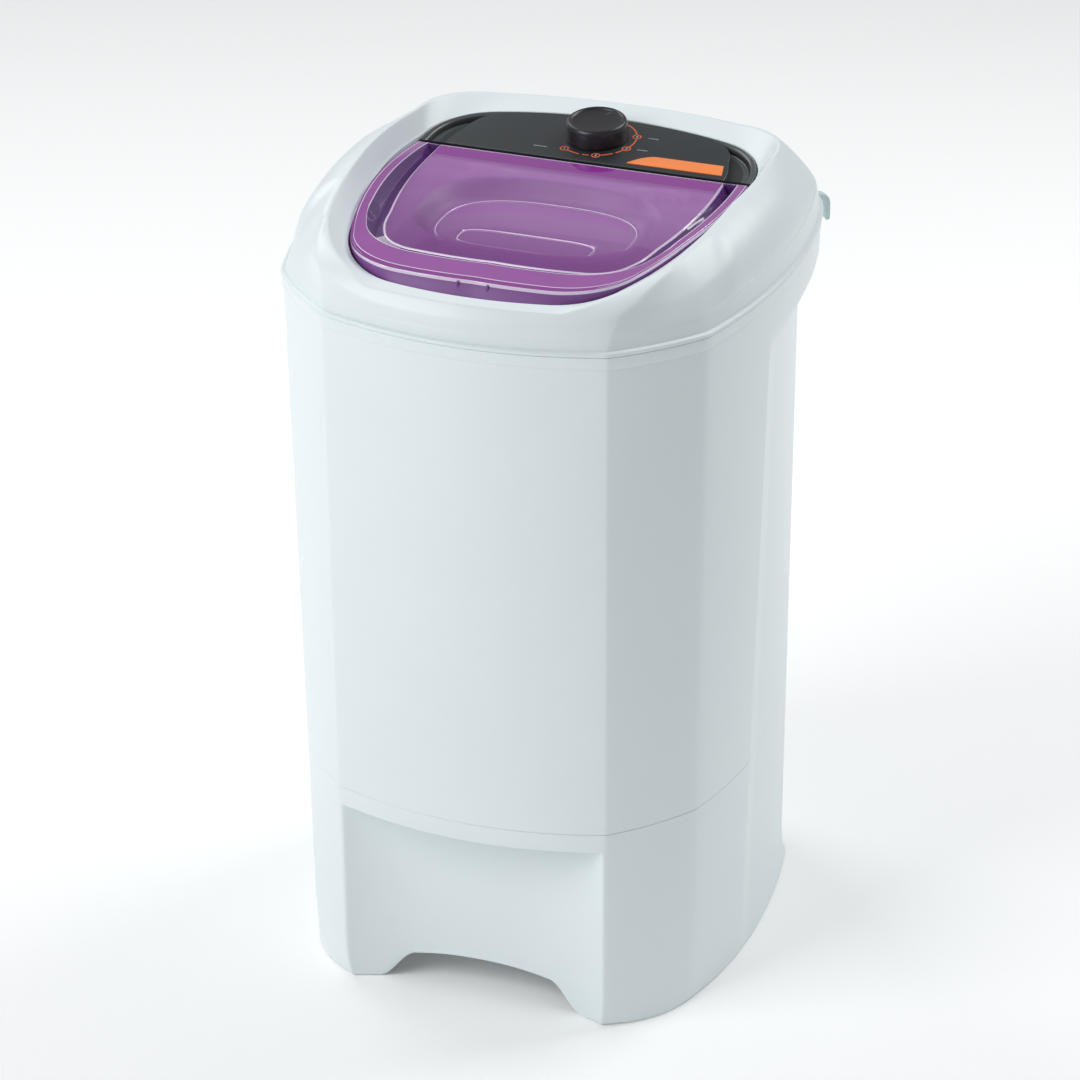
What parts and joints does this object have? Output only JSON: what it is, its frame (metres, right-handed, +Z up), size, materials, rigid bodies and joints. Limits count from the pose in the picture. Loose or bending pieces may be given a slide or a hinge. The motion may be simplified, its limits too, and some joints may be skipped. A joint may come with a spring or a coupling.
{
  "type": "washing machine",
  "caption": "Top-loading tub washing machine with a clear purple hinged lid, a dial on a charcoal panel, a kick recess and a belt-driven pulsator.",
  "frame": {"origin": "centre of the footprint at floor level, below the middle of the body", "axes": "+Z up, the front with the kick recess faces -Y, +X to the right in a front view"},
  "size_m": [0.5488, 0.589, 0.9212],
  "materials": {
    "white_plastic": "smooth, cool white",
    "grey_plastic": "plain moulded",
    "clear_purple": "clear, tinted purple",
    "charcoal": "satin charcoal",
    "dark_knob": "satin, near black",
    "orange": "plain orange",
    "hook_plastic": "pale moulded",
    "steel": "zinc plated",
    "cast_alloy": "cast",
    "brass": "plain turned",
    "rubber": "plain black"
  },
  "bodies": {
    "machine": {"cabinet": "white_plastic", "base_skirt": "white_plastic", "base_pan": "grey_plastic", "foot_pads": "rubber", "base_screws": "steel", "top_cover": "white_plastic", "hinge_brackets": "white_plastic", "hinge_screws": "steel", "lid_rest_pads": "rubber", "control_panel": "charcoal", "accent_strip": "orange", "programme_switch": "grey_plastic", "switch_nut": "brass", "wash_tub": "grey_plastic", "tub_screws": "steel", "splash_collar": "white_plastic", "collar_screws": "steel", "shaft_seal": "rubber", "bearing_housing": "cast_alloy", "shaft_bushes": "brass", "housing_screws": "steel", "drive_belt": "rubber", "motor": "cast_alloy", "motor_bolts": "steel", "support_plate": "steel", "support_posts": "grey_plastic", "run_capacitor": "grey_plastic", "capacitor_clamp": "steel", "drain_pipe": "grey_plastic", "drain_gasket": "rubber", "drain_spigot": "grey_plastic", "rear_cover": "grey_plastic", "rear_cover_screws": "steel", "cable_gland": "rubber", "filter_holder": "white_plastic", "hose_hook": "hook_plastic", "hook_screws": "steel"},
    "lid_body": {"lid": "clear_purple", "lid_hinge_arms": "clear_purple"},
    "dial": {"knob": "dark_knob", "knob_spindle": "brass"},
    "pulsator_body": {"pulsator": "white_plastic", "pulsator_screw": "steel", "pulsator_cap": "clear_purple", "drive_shaft": "steel", "driven_pulley": "cast_alloy", "pulley_nut": "steel"},
    "rotor": {"motor_shaft": "steel", "motor_pulley": "cast_alloy"},
    "filter": {"filter_frame": "white_plastic", "filter_pocket": "grey_plastic"}
  },
  "joints": [
    {"name": "lid_hinge", "type": "hinge", "parent": "machine", "child": "lid_body", "pos_m": [0, 0.097, 0.8813], "axis": [-1, 0, 0], "range_deg": [0, 95]},
    {"name": "knob_turn", "type": "hinge", "parent": "machine", "child": "dial", "pos_m": [-0.004, 0.16771, 0.89566], "axis": [0, -0.0993, 0.9951], "range_deg": [-285, 0]},
    {"name": "pulsator_spin", "type": "hinge", "parent": "machine", "child": "pulsator_body", "pos_m": [0, -0.04, 0.3], "axis": [0, 0, 1], "continuous": true},
    {"name": "motor_spin", "type": "hinge", "parent": "machine", "child": "rotor", "pos_m": [0, 0.125, 0.2], "axis": [0, 0, 1], "continuous": true},
    {"name": "filter_lift", "type": "slide", "parent": "machine", "child": "filter", "axis": [0, 0, 1], "range_m": [0, 0.008]}
  ],
  "couplings": [
    {"joint": "motor_spin", "follows": "pulsator_spin", "ratio": 5}
  ]
}
